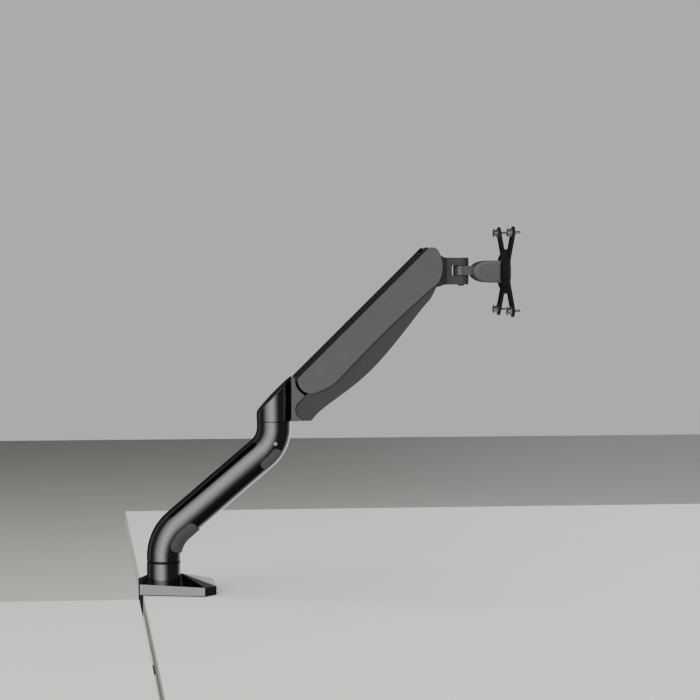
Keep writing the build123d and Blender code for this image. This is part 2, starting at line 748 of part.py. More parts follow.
channel_top = 10.9
bush_r = pin_r + run_gap + 1.2
channel_lug_r = 11.5
with BuildPart() as upper_channel:
    with BuildSketch(*both_sides(channel_half - channel_wall, channel_half)):
        with BuildLine():
            Polyline(
                arm(0, -channel_top), arm(link_length, -channel_top), arm(link_length, 9),
                arm(0, 9), close=True,
            )
        make_face()
        with Locations(upper_pivot, head_upper_pivot):
            Circle(channel_lug_r)
    extrude(amount=channel_wall)
    with BuildSketch(side(channel_half)):
        with BuildLine():
            Polyline(
                arm(17, -channel_top), arm(link_length - 17, -channel_top),
                arm(link_length - 17, -channel_top + channel_wall), arm(17, -channel_top + channel_wall),
                close=True,
            )
        make_face()
    extrude(amount=2 * channel_half)
    with BuildSketch(side(channel_half)):
        with Locations(upper_pivot, head_upper_pivot):
            Circle(bush_r)
        with Locations(arm(*spring_end)):
            Circle(spring_pin_r)
        with Locations(*boss_spots):
            Circle(panel_screw_r)
    extrude(amount=2 * channel_half, mode=Mode.SUBTRACT)
save(upper_channel.part, "upper_channel")


def bushings(centres, inner, outer):
    """Plain bushings in a link's two walls."""
    with BuildPart() as rings:
        with BuildSketch(*both_sides(inner, outer)):
            with Locations(*centres):
                Circle(bush_r)
                Circle(pin_r + run_gap, mode=Mode.SUBTRACT)
        extrude(amount=outer - inner)
    return rings.part


save(
    bushings([upper_pivot, head_upper_pivot], channel_half - channel_wall, channel_half),
    "upper_link_bushings",
)
save(pin_part(arm(*spring_end), spring_pin_r, channel_half), "spring_pin_arm")

wrap_angle = 192.0
cover_out_r = panel_end_r + cover_wall
cover_end_u = link_length + 8.5


def cover_outline():
    """The top cover's section: a strip on the panels' top edges that curls over the elbow end."""
    inner_left = -sqrt(panel_end_r ** 2 - panel_top ** 2)
    outer_top = panel_top + cover_wall
    outer_left = -sqrt(cover_out_r ** 2 - outer_top ** 2)
    end = radians(wrap_angle - link_rise)
    middle = radians((wrap_angle - link_rise + 140) / 2)
    with BuildLine(side(0)) as outline:
        Line(arm(inner_left, -panel_top), arm(cover_end_u, -panel_top))
        Line(arm(cover_end_u, -panel_top), arm(cover_end_u, -outer_top))
        Line(arm(cover_end_u, -outer_top), arm(outer_left, -outer_top))
        ThreePointArc(
            arm(outer_left, -outer_top),
            arm(cover_out_r * cos(middle), -cover_out_r * sin(middle)),
            arm(cover_out_r * cos(end), -cover_out_r * sin(end)),
        )
        Line(
            arm(cover_out_r * cos(end), -cover_out_r * sin(end)),
            arm(panel_end_r * cos(end), -panel_end_r * sin(end)),
        )
        ThreePointArc(
            arm(panel_end_r * cos(end), -panel_end_r * sin(end)),
            arm(panel_end_r * cos(middle), -panel_end_r * sin(middle)),
            arm(inner_left, -panel_top),
        )
    return outline


slot_half = ear_half + 1.3
with BuildPart() as top_cover:
    with BuildSketch(side(arm_half)):
        add(cover_outline().line)
        make_face()
    extrude(amount=2 * arm_half)
    with BuildSketch(side(10)):
        with BuildLine():
            Polyline(
                arm(24, -panel_top), arm(link_length - 17, -panel_top), arm(link_length - 17, -channel_top),
                arm(24, -channel_top),
                close=True,
            )
        make_face()
    extrude(amount=20)
    with BuildSketch(side(slot_half)):
        with BuildLine():
            Polyline(
                arm(link_length - 1.5, -panel_top - 5), arm(link_length + 45, -panel_top - 5),
                arm(link_length + 45, 0), arm(link_length - 1.5, 0), close=True,
            )
        make_face()
    extrude(amount=2 * slot_half, mode=Mode.SUBTRACT)
save(top_cover.part, "top_cover")

# ---- gas spring ---------------------------------------------------------------------------------
lean = radians(link_rise + spring_lean)
spring_dir = (-cos(lean), -sin(lean))
spring_start = arm(*spring_end)


def spring_plane(distance):
    """A section plane across the gas spring, a distance from its pin in the arm."""
    return Plane(
        origin=(spring_start[0] + distance * spring_dir[0], 0, spring_start[1] + distance * spring_dir[1]),
        x_dir=(0, 1, 0),
        z_dir=(spring_dir[0], 0, spring_dir[1]),
    )


eye_r, eye_half = 8.0, 4.0
tube_begin = 11.0
rod_begin = 44.0
eye_distance = 177.8
rod_eye_half = 5.5
eye_slot_half = 4.5
with BuildPart() as spring_cylinder:
    with BuildSketch(spring_plane(tube_begin)):
        Circle(spring_r)
    extrude(amount=spring_length)
    with BuildSketch(spring_plane(tube_begin + 6)):
        Circle(spring_bore)
    extrude(amount=spring_length - 12, mode=Mode.SUBTRACT)
    with BuildSketch(spring_plane(tube_begin + spring_length - 6)):
        Circle(rod_r + run_gap)
    extrude(amount=8, mode=Mode.SUBTRACT)
    with BuildSketch(spring_plane(-2)):
        Rectangle(2 * eye_half, 9)
    extrude(amount=tube_begin + 2)
    with BuildSketch(side(eye_half)):
        with Locations(spring_start):
            Circle(eye_r)
    extrude(amount=2 * eye_half)
    with BuildSketch(side(eye_half)):
        with Locations(spring_start):
            Circle(spring_pin_r)
    extrude(amount=2 * eye_half, mode=Mode.SUBTRACT)
save(spring_cylinder.part, "spring_cylinder")

with BuildPart() as spring_rod:
    with BuildSketch(spring_plane(rod_begin)):
        Circle(rod_r)
    extrude(amount=rod_length)
    with BuildSketch(spring_plane(rod_begin)):
        Circle(spring_bore - run_gap)
        Circle(rod_r, mode=Mode.SUBTRACT)
    extrude(amount=8)
save(spring_rod.part, "spring_rod")

eye_centre = (
    spring_start[0] + eye_distance * spring_dir[0],
    spring_start[1] + eye_distance * spring_dir[1],
)
with BuildPart() as rod_eye:
    with BuildSketch(
        Plane(
            origin=(eye_centre[0], -rod_eye_half, eye_centre[1]),
            x_dir=(spring_dir[0], 0, spring_dir[1]),
            z_dir=(0, 1, 0),
        )
    ):
        SlotOverall(24, 2 * (eye_slot_half + 3.6), rotation=90)
        with Locations((-9, 0)):
            Rectangle(10, 11)
        SlotOverall(18, 2 * eye_slot_half, rotation=90, mode=Mode.SUBTRACT)
    extrude(amount=2 * rod_eye_half)
    with BuildSketch(spring_plane(rod_begin)):
        Circle(rod_r)
    extrude(amount=rod_length, mode=Mode.SUBTRACT)
save(rod_eye.part, "rod_eye")

# ---- lower link ---------------------------------------------------------------------------------
lower_end_r = 7.5
with BuildPart() as lower_channel:
    with BuildSketch(*both_sides(lower_half - lower_wall, lower_half)):
        with BuildLine():
            Polyline(
                belly(0, -3.5), belly(link_length, -3.5), belly(link_length, lower_end_r),
                belly(0, lower_end_r), close=True,
            )
        make_face()
        with Locations(lower_pivot, head_lower_pivot):
            Circle(lower_end_r)
    extrude(amount=lower_wall)
    with BuildSketch(side(lower_half)):
        with BuildLine():
            Polyline(
                belly(26, lower_end_r - 2.5), belly(link_length - 26, lower_end_r - 2.5),
                belly(link_length - 26, lower_end_r), belly(26, lower_end_r), close=True,
            )
        make_face()
    extrude(amount=2 * lower_half)
    with BuildSketch(side(lower_half)):
        with Locations(lower_pivot, head_lower_pivot):
            Circle(bush_r)
    extrude(amount=2 * lower_half, mode=Mode.SUBTRACT)
save(lower_channel.part, "lower_channel")
save(
    bushings([lower_pivot, head_lower_pivot], lower_half - lower_wall, lower_half),
    "lower_link_bushings",
)

belly_tip_r = 21.2
belly_rise = [(0.9, 15.0), (24.3, 15.9), (0.442 * link_length, 23.8), (link_length - 6.6, 13.3)]
belly_floor = lower_pivot[1] - belly_drop
belly_flat = (lower_pivot[0] - 5.5, belly_floor)
belly_corner = lower_pivot[0] + 5.0
belly_heel = (
    lower_pivot[0] + belly_end_r * cos(radians(235)),
    lower_pivot[1] + belly_end_r * sin(radians(235)),
)
belly_top = -belly_end_r - 4.5
belly_tip_way = (cos(radians(link_rise + 22)), sin(radians(link_rise + 22)))
belly_tip = (link_length + belly_tip_r * cos(radians(14.3)), belly_tip_r * sin(radians(14.3)))


def belly_curve(inset):
    """The belly cover's full lower edge, moved inward by inset."""
    Spline(
        (belly_corner, belly_floor + inset),
        *(belly(u, v - inset) for u, v in belly_rise),
        belly(belly_tip[0], belly_tip[1] - inset),
        tangents=[(1, 0), belly_tip_way],
    )


def belly_outline(inset):
    """The belly cover's outline: round about both lower pivots, with a full lower edge."""
    bend = radians(20)
    top_end = link_length + sqrt(belly_tip_r ** 2 - belly_top ** 2)
    Line(belly(26, belly_top), belly(20, -belly_end_r))
    Line(belly(20, -belly_end_r), belly(0, -belly_end_r))
    ThreePointArc(belly(0, -belly_end_r), belly(-belly_end_r, 0), belly_heel)
    Line(belly_heel, belly_flat)
    if inset:
        Line(belly_flat, (belly_flat[0], belly_floor + inset))
    Line((belly_flat[0], belly_floor + inset), (belly_corner, belly_floor + inset))
    belly_curve(inset)
    if inset:
        Line(belly(belly_tip[0], belly_tip[1] - inset), belly(*belly_tip))
    ThreePointArc(
        belly(*belly_tip),
        belly(link_length + belly_tip_r * cos(bend), -belly_tip_r * sin(bend)),
        belly(top_end, belly_top),
    )
    Line(belly(top_end, belly_top), belly(26, belly_top))


web_end_u = link_length + 8.5
belly_inner = belly_half - shell_wall
with BuildPart() as belly_cover:
    with BuildSketch(side(belly_half)):
        with BuildLine():
            belly_outline(0)
        make_face()
    extrude(amount=2 * belly_half)
    with BuildSketch(side(belly_inner)):
        with BuildLine():
            Line((lower_pivot[0] - 1, belly_floor - 5), (lower_pivot[0] - 1, belly_floor + shell_wall))
            Line((lower_pivot[0] - 1, belly_floor + shell_wall), (belly_corner, belly_floor + shell_wall))
            belly_curve(shell_wall)
            Polyline(
                belly(belly_tip[0], belly_tip[1] - shell_wall), belly(link_length + 45, 0),
                belly(link_length + 45, -40),
                belly(20, -40), (lower_pivot[0] - 30, lower_pivot[1] + 12),
                (lower_pivot[0] - 30, belly_floor - 5), (lower_pivot[0] - 1, belly_floor - 5),
            )
        make_face()
    extrude(amount=2 * belly_inner, mode=Mode.SUBTRACT)
    with BuildSketch(side(belly_inner)):
        with BuildLine():
            Polyline(
                belly(web_end_u, -30), belly(web_end_u, 40), belly(link_length + 45, 40),
                belly(link_length + 45, -30), close=True,
            )
        make_face()
    extrude(amount=2 * belly_inner, mode=Mode.SUBTRACT)
save(belly_cover.part, "belly_cover")

strip_half, strip_proud = 13.0, 1.3
with BuildPart() as cable_cover:
    with BuildSketch(side(strip_half)):
        with BuildLine():
            belly_outline(-strip_proud)
        make_face()
    extrude(amount=2 * strip_half)
    with BuildSketch(side(strip_half + 1)):
        with BuildLine():
            belly_outline(0)
        make_face()
    extrude(amount=2 * strip_half + 2, mode=Mode.SUBTRACT)
    for cut_u, kept in ((55.0, Keep.TOP), (link_length - 38.5, Keep.BOTTOM)):
        cut_x, cut_z = belly(cut_u, 0)
        split(bisect_by=Plane(origin=(cut_x, 0, cut_z), z_dir=(along[0], 0, along[1])), keep=kept)
save(cable_cover.part, "cable_cover")

# ---- head ---------------------------------------------------------------------------------------
head_lug_r = 7.5
head_x, head_z = head_upper_pivot
neck_left = head_x + 11.5
shoulder_x = head_x + 15.5
shoulder_high, shoulder_low = head_z + 6.8, head_z - 32.2
neck_x = head_x + 23.0
pan_head_r, pan_head = 6.0, 2.0
slot_left = pan_x - 13.2
with BuildPart() as head_bracket:
    with BuildSketch(*both_sides(ear_half - ear_wall, ear_half)):
        with BuildLine():
            Polyline(
                (head_x, head_z + ear_lug_r - 0.5), (shoulder_x, shoulder_high),
                (shoulder_x, shoulder_low), (head_x + 6, shoulder_low - 2),
                (head_lower_pivot[0] + 6.5, shoulder_low - 2.6),
                (head_lower_pivot[0], head_lower_pivot[1]),
                (head_lower_pivot[0] - head_lug_r + 0.3, head_lower_pivot[1] + 2),
                (head_x - ear_lug_r + 0.5, head_z), close=True,
            )
        make_face()
        with Locations(head_upper_pivot):
            Circle(ear_lug_r)
        with Locations(head_lower_pivot):
            Circle(head_lug_r)
    extrude(amount=ear_wall)
    with BuildSketch(side(ear_half)):
        with BuildLine():
            Line((neck_left, shoulder_high), (shoulder_x, shoulder_high))
            TangentArc((neck_x, head_high), (shoulder_x, shoulder_high), tangent=(-1, 0))
            Line((neck_x, head_high), (pan_x + lug_r, head_high))
            Line((pan_x + lug_r, head_high), (pan_x + lug_r, head_low))
            Line((pan_x + lug_r, head_low), (neck_x, head_low))
            TangentArc((neck_x, head_low), (neck_left, shoulder_low - 0.6), tangent=(-1, 0))
            Line((neck_left, shoulder_low - 0.6), (neck_left, shoulder_high))
        make_face()
    extrude(amount=2 * ear_half)
    with BuildSketch(Plane.XY.offset(head_low - 10)):
        with BuildLine():
            Polyline(
                (head_x - 20, -ear_half), (shoulder_x, -ear_half), (neck_x + 0.5, -lug_r), (pan_x, -lug_r),
                (pan_x, lug_r), (neck_x + 0.5, lug_r), (shoulder_x, ear_half), (head_x - 20, ear_half),
                close=True,
            )
        make_face()
        fillet(vertices().group_by(Axis.X)[1], 6)
        with Locations((pan_x, 0)):
            Circle(lug_r)
        with Locations((head_x - 20, 0)):
            Rectangle(20, 2 * ear_half)
    extrude(amount=2 * head_height, mode=Mode.INTERSECT)
    with BuildSketch(side(ear_half)):
        with BuildLine():
            Polyline(
                (slot_left, slot_low), (pan_x + 20, slot_low), (pan_x + 20, slot_high),
                (slot_left, slot_high), close=True,
            )
        make_face()
        fillet(vertices().group_by(Axis.X)[0], 1.5)
    extrude(amount=2 * ear_half, mode=Mode.SUBTRACT)
    with BuildSketch(Plane.XY.offset(head_low - 1)):
        with Locations((pan_x, 0)):
            Circle(pin_r)
    extrude(amount=50, mode=Mode.SUBTRACT)
    with BuildSketch(Plane.XY.offset(head_high)):
        with Locations((pan_x, 0)):
            Circle(pan_head_r + side_gap)
    extrude(amount=-pan_head - 0.2, mode=Mode.SUBTRACT)
    with BuildSketch(side(ear_half)):
        with Locations(head_upper_pivot, head_lower_pivot):
            Circle(pin_r)
    extrude(amount=2 * ear_half, mode=Mode.SUBTRACT)
save(head_bracket.part, "head_bracket")
save(pin_part(head_upper_pivot, pin_r, channel_half + 0.2), "head_upper_pin")
save(pin_part(head_lower_pivot, pin_r, ear_half), "head_lower_pin")

with BuildPart() as pan_bolt:
    with BuildSketch(Plane.XY.offset(head_low - 1.6)):
        with Locations((pan_x, 0)):
            Circle(pin_r)
    extrude(amount=head_high - pan_head - head_low + 1.4)
    with BuildSketch(Plane.XY.offset(head_high - pan_head - 0.2)):
        with Locations((pan_x, 0)):
            Circle(pan_head_r)
    extrude(amount=pan_head)
    chamfer(pan_bolt.edges().group_by(Axis.Z)[-1], 0.5)
    with BuildSketch(Plane.XY.offset(head_high - 0.2)):
        with Locations((pan_x, 0)):
            RegularPolygon(2.6, 6)
    extrude(amount=-1.6, mode=Mode.SUBTRACT)
save(pan_bolt.part, "pan_bolt")

pan_washer = 0.5
tongue_low, tongue_high = slot_low + pan_washer + seat_gap, slot_high - pan_washer - seat_gap
with BuildPart() as pan_washers:
    for base in (slot_low, slot_high - pan_washer):
        with BuildSketch(Plane.XY.offset(base)):
            with Locations((pan_x, 0)):
                Circle(lug_r - 0.6)
                Circle(pin_r, mode=Mode.SUBTRACT)
        extrude(amount=pan_washer)
save(pan_washers.part, "pan_washers")

fork_inner = fork_half - fork_wall
tilt_washer = 0.8
knuckle_half = fork_inner - tilt_washer - seat_gap
with BuildPart() as pan_tongue:
    with BuildSketch(Plane.XY.offset(tongue_low)):
        with Locations((pan_x, 0)):
            Circle(lug_r - 0.2)
        with Locations(((pan_x + tilt_x) / 2, 0)):
            Rectangle(tilt_x - pan_x, 2 * (knuckle_half - 2.2))
    extrude(amount=tongue_high - tongue_low)
    with BuildSketch(side(knuckle_half)):
        with Locations((tilt_x, tilt_z)):
            Circle(knuckle_r)
    extrude(amount=2 * knuckle_half)
    with BuildSketch(Plane.XY.offset(tongue_low - 1)):
        with Locations((pan_x, 0)):
            Circle(pin_r + run_gap)
    extrude(amount=20, mode=Mode.SUBTRACT)
    with BuildSketch(side(knuckle_half)):
        with Locations((tilt_x, tilt_z)):
            Circle(pin_r + run_gap)
    extrude(amount=2 * knuckle_half, mode=Mode.SUBTRACT)
save(pan_tongue.part, "pan_tongue")

# ---- tilt head ----------------------------------------------------------------------------------
cheek_right = fork_back - 4.4
roll_hole_r = 5.0
nose_x = tilt_x - tilt_r + nose_length


def nose_outline(inset):
    """A cheek's outline: flat at the back and a long round nose at the front, moved in by inset."""
    high, low = tilt_z + tilt_r - inset, tilt_z - tilt_r + inset
    back = fork_back - inset
    EllipticalCenterArc(
        (nose_x, tilt_z), nose_length - inset, tilt_r - inset, start_angle=90, arc_size=180,
    )
    Polyline((nose_x, low), (back, low), (back, high), (nose_x, high))


with BuildPart() as tilt_fork:
    with BuildSketch(*both_sides(fork_inner, fork_half)):
        with BuildLine():
            nose_outline(0)
        make_face()
    extrude(amount=fork_wall)
    with BuildSketch(Plane.YZ.offset(cheek_right)):
        with Locations((0, tilt_z)):
            Rectangle(2 * fork_half, 2 * tilt_r)
    extrude(amount=fork_back - cheek_right)
    with BuildSketch(side(fork_half)):
        with Locations((tilt_x, tilt_z)):
            Circle(pin_r)
    extrude(amount=2 * fork_half, mode=Mode.SUBTRACT)
    with BuildSketch(Plane.YZ.offset(cheek_right)):
        with Locations((0, tilt_z)):
            Circle(roll_hole_r)
    extrude(amount=10, mode=Mode.SUBTRACT)
save(tilt_fork.part, "tilt_fork")

with BuildPart() as tilt_caps:
    for direction in (1, -1):
        with BuildSketch(side(-direction * fork_half)):
            with BuildLine():
                nose_outline(cap_inset)
            make_face()
        extrude(amount=direction * cap_height)
        outside = tilt_caps.faces().sort_by(Axis.Y)[0 if direction > 0 else -1]
        fillet(outside.edges(), cap_height - 0.6)
save(tilt_caps.part, "tilt_caps")
save(pin_part((tilt_x, tilt_z), pin_r, fork_half), "tilt_bolt")

with BuildPart() as tilt_washers:
    with BuildSketch(*both_sides(fork_inner - tilt_washer, fork_inner)):
        with Locations((tilt_x, tilt_z)):
            Circle(knuckle_r - 1)
            Circle(pin_r, mode=Mode.SUBTRACT)
    extrude(amount=tilt_washer)
save(tilt_washers.part, "tilt_washers")

# ---- mounting plate -----------------------------------------------------------------------------
roll_washer_wall = 0.6
hub_start = fork_back + roll_washer_wall + seat_gap
plate_back = plate_face - vesa_wall
hole_spots = [
    (y * pitch / 2, tilt_z + z * pitch / 2)
    for pitch in (vesa_wide, vesa_narrow) for y in (-1, 1) for z in (-1, 1)
]
with BuildPart() as vesa_plate:
    with BuildSketch(Plane.YZ.offset(plate_back)):
        with Locations((0, tilt_z)):
            Circle(hub_large_r)
            for tilt in (45, 135):
                SlotCenterToCenter(vesa_wide * sqrt(2), 2 * vesa_arm_half, rotation=tilt)
        corners = vertices().filter_by(lambda v: (v.X ** 2 + (v.Y - tilt_z) ** 2) ** 0.5 < hub_large_r + 0.5)
        fillet(corners, 8)
    extrude(amount=vesa_wall)
    with BuildSketch(Plane.YZ.offset(hub_start)):
        with Locations((0, tilt_z)):
            Circle(hub_small_r)
    with BuildSketch(Plane.YZ.offset(plate_back)):
        with Locations((0, tilt_z)):
            Circle(hub_large_r)
    loft()
    with BuildSketch(Plane.YZ.offset(plate_face)):
        with Locations((0, tilt_z)):
            Circle(hub_large_r - 5)
    with BuildSketch(Plane.YZ.offset(hub_start + 2.6)):
        with Locations((0, tilt_z)):
            Circle(hub_small_r - 4)
    loft(mode=Mode.SUBTRACT)
    with BuildSketch(Plane.YZ.offset(hub_start)):
        with Locations((0, tilt_z)):
            Circle(roll_hole_r)
    extrude(amount=10, mode=Mode.SUBTRACT)
    with BuildSketch(Plane.YZ.offset(plate_back)):
        with Locations(*hole_spots):
            Circle(vesa_hole_r)
    extrude(amount=vesa_wall, mode=Mode.SUBTRACT)
save(vesa_plate.part, "vesa_plate")

nut_flat_r, nut_wall = 8.0, 3.5
with BuildPart() as roll_bolt:
    with BuildSketch(Plane.YZ.offset(cheek_right - nut_wall)):
        with Locations((0, tilt_z)):
            RegularPolygon(nut_flat_r, 6)
    extrude(amount=nut_wall - seat_gap)
    with BuildSketch(Plane.YZ.offset(cheek_right - seat_gap)):
        with Locations((0, tilt_z)):
            Circle(roll_hole_r - run_gap)
    extrude(amount=hub_start - cheek_right + seat_gap)
    with BuildSketch(Plane.YZ.offset(hub_start)):
        with Locations((0, tilt_z)):
            Circle(roll_hole_r)
    extrude(amount=2.6)
    with BuildSketch(Plane.YZ.offset(hub_start + 2.6)):
        with Locations((0, tilt_z)):
            Circle(8)
    extrude(amount=3)
save(roll_bolt.part, "roll_bolt")

with BuildPart() as roll_washer:
    with BuildSketch(Plane.YZ.offset(fork_back)):
        with Locations((0, tilt_z)):
            Circle(tilt_r - 1)
            Circle(roll_hole_r + side_gap, mode=Mode.SUBTRACT)
    extrude(amount=roll_washer_wall)
save(roll_washer.part, "roll_washer")

wide_spots = hole_spots[:4]
with BuildPart() as thumbscrews:
    with BuildSketch(Plane.YZ.offset(plate_back - thumb_height)):
        with Locations(*wide_spots):
            Circle(thumb_r)
    extrude(amount=thumb_height)
    with BuildSketch(Plane.YZ.offset(plate_back - thumb_height + 2.4)):
        with Locations(*wide_spots):
            Circle(thumb_r + 1)
            Circle(thumb_r - 1.0, mode=Mode.SUBTRACT)
    extrude(amount=1.6, mode=Mode.SUBTRACT)
    with BuildSketch(Plane.YZ.offset(plate_back)):
        with Locations(*wide_spots):
            Circle(vesa_hole_r - 0.15)
    extrude(amount=vesa_wall)
    with BuildSketch(Plane.YZ.offset(plate_face)):
        with Locations(*wide_spots):
            Circle(thumb_thread_r)
    extrude(amount=thumb_reach)
save(thumbscrews.part, "thumbscrews")
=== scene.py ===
"""Looks for the desk monitor arm: finishes, knurled thumbscrews, desk, light and camera.

Everything is in metres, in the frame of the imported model: X along the arm, Y across it, Z up from the desk.
"""
import json
from math import cos, radians, sin

import bpy
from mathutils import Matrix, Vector


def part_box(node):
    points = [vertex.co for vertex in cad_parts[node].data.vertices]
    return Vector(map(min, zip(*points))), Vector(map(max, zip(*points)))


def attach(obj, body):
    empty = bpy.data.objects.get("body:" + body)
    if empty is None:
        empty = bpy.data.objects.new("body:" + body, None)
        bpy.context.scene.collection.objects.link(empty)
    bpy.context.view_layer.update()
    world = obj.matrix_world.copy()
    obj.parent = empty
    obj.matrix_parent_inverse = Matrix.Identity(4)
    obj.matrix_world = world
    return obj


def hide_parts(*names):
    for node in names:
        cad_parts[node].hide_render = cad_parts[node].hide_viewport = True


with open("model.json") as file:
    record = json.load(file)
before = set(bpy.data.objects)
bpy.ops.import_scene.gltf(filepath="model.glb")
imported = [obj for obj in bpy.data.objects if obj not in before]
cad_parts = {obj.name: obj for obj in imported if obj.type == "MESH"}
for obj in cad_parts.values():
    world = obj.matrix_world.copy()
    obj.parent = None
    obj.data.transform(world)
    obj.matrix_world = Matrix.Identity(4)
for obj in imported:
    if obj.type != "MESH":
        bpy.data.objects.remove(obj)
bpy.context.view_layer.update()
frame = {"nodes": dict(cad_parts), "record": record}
nodes = frame["nodes"]
MM = 0.001


# ---- node helpers -------------------------------------------------------------------------------
def feed(tree, socket, value):
    """Links a socket to an input, or sets the input's value."""
    if isinstance(value, bpy.types.NodeSocket):
        tree.links.new(value, socket)
    else:
        socket.default_value = value


def put(tree, kind, settings=None, **inputs):
    """Adds a node, sets its properties, and sets or links its inputs by name."""
    node = tree.nodes.new(kind)
    for key, value in (settings or {}).items():
        setattr(node, key, value)
    for key, value in inputs.items():
        feed(tree, node.inputs[key.replace("_", " ")], value)
    return node


def math_node(tree, operation, first, second):
    """A Math node of two values or sockets; returns its output."""
    node = tree.nodes.new("ShaderNodeMath")
    node.operation = operation
    for socket, value in zip(node.inputs, (first, second)):
        feed(tree, socket, value)
    return node.outputs[0]


def scaled_colour(tree, colour, scale):
    """A colour made lighter or darker by a socket; returns its output."""
    node = tree.nodes.new("ShaderNodeVectorMath")
    node.operation = "SCALE"
    node.inputs[0].default_value = colour
    tree.links.new(scale, node.inputs["Scale"])
    return node.outputs["Vector"]


def new_group(name, inputs, outputs):
    """A shader node group with named sockets: inputs as (name, kind, default), outputs as (name, kind)."""
    group = bpy.data.node_groups.new(name, "ShaderNodeTree")
    for socket_name, kind, default in inputs:
        socket = group.interface.new_socket(socket_name, in_out="INPUT", socket_type=kind)
        if default is not None:
            socket.default_value = default
    for socket_name, kind in outputs:
        group.interface.new_socket(socket_name, in_out="OUTPUT", socket_type=kind)
    return group, group.nodes.new("NodeGroupInput"), group.nodes.new("NodeGroupOutput")


def use_group(tree, group, **inputs):
    """Places a group in a tree and sets or links its inputs by name."""
    return put(tree, "ShaderNodeGroup", {"node_tree": group}, **inputs)


# ---- shared surface effects ---------------------------------------------------------------------
def make_grain_group():
    """Fine moulded or sprayed grain: a height for bump and a tone that varies with it."""
    group, given, out = new_group(
        "surface grain",
        [("Vector", "NodeSocketVector", None), ("Size", "NodeSocketFloat", 900.0)],
        [("Height", "NodeSocketFloat"), ("Tone", "NodeSocketFloat")],
    )
    fine = put(
        group, "ShaderNodeTexNoise", Vector=given.outputs["Vector"], Scale=given.outputs["Size"],
        Detail=3.0, Roughness=0.6,
    )
    coarse_scale = math_node(group, "MULTIPLY", given.outputs["Size"], 0.14)
    coarse = put(
        group, "ShaderNodeTexNoise", Vector=given.outputs["Vector"], Scale=coarse_scale, Detail=2.0,
    )
    group.links.new(fine.outputs["Fac"], out.inputs["Height"])
    group.links.new(coarse.outputs["Fac"], out.inputs["Tone"])
    return group


def make_handling_group():
    """Roughness that varies softly where hands and cloths have been, with a few fine rubs."""
    group, given, out = new_group(
        "handling marks",
        [
            ("Vector", "NodeSocketVector", None), ("Roughness", "NodeSocketFloat", 0.3),
            ("Spread", "NodeSocketFloat", 0.08),
        ],
        [("Roughness", "NodeSocketFloat")],
    )
    patches = put(
        group, "ShaderNodeTexNoise", Vector=given.outputs["Vector"], Scale=22.0, Detail=4.0, Roughness=0.55,
    )
    stretched = put(group, "ShaderNodeMapping", Vector=given.outputs["Vector"], Scale=(300.0, 300.0, 45.0))
    rubs = put(group, "ShaderNodeTexNoise", Vector=stretched.outputs["Vector"], Scale=1.0, Detail=2.0)
    mixed = math_node(group, "ADD", patches.outputs["Fac"], rubs.outputs["Fac"])
    centred = math_node(group, "SUBTRACT", mixed, 1.0)
    swing = math_node(group, "MULTIPLY", centred, given.outputs["Spread"])
    total = math_node(group, "ADD", given.outputs["Roughness"], swing)
    group.links.new(math_node(group, "MAXIMUM", total, 0.03), out.inputs["Roughness"])
    return group


def make_edge_group():
    """A mask of sharp edges, from how far the rounded normal leans away from the true one."""
    group, given, out = new_group(
        "worn edges",
        [("Vector", "NodeSocketVector", None), ("Radius", "NodeSocketFloat", 0.6 * MM)],
        [("Mask", "NodeSocketFloat"), ("Normal", "NodeSocketVector")],
    )
    rounded = put(group, "ShaderNodeBevel", {"samples": 6}, Radius=given.outputs["Radius"])
    true_normal = put(group, "ShaderNodeNewGeometry")
    dot = group.nodes.new("ShaderNodeVectorMath")
    dot.operation = "DOT_PRODUCT"
    group.links.new(rounded.outputs["Normal"], dot.inputs[0])
    group.links.new(true_normal.outputs["Normal"], dot.inputs[1])
    lean = math_node(group, "SUBTRACT", 1.0, dot.outputs["Value"])
    breakup = put(group, "ShaderNodeTexNoise", Vector=given.outputs["Vector"], Scale=160.0, Detail=4.0)
    broken = math_node(group, "MULTIPLY", lean, breakup.outputs["Fac"])
    mask = put(
        group, "ShaderNodeMapRange", Value=broken, From_Min=0.03, From_Max=0.14, To_Min=0.0, To_Max=1.0,
    )
    group.links.new(mask.outputs["Result"], out.inputs["Mask"])
    group.links.new(rounded.outputs["Normal"], out.inputs["Normal"])
    return group


grain_group = make_grain_group()
handling_group = make_handling_group()
edge_group = make_edge_group()


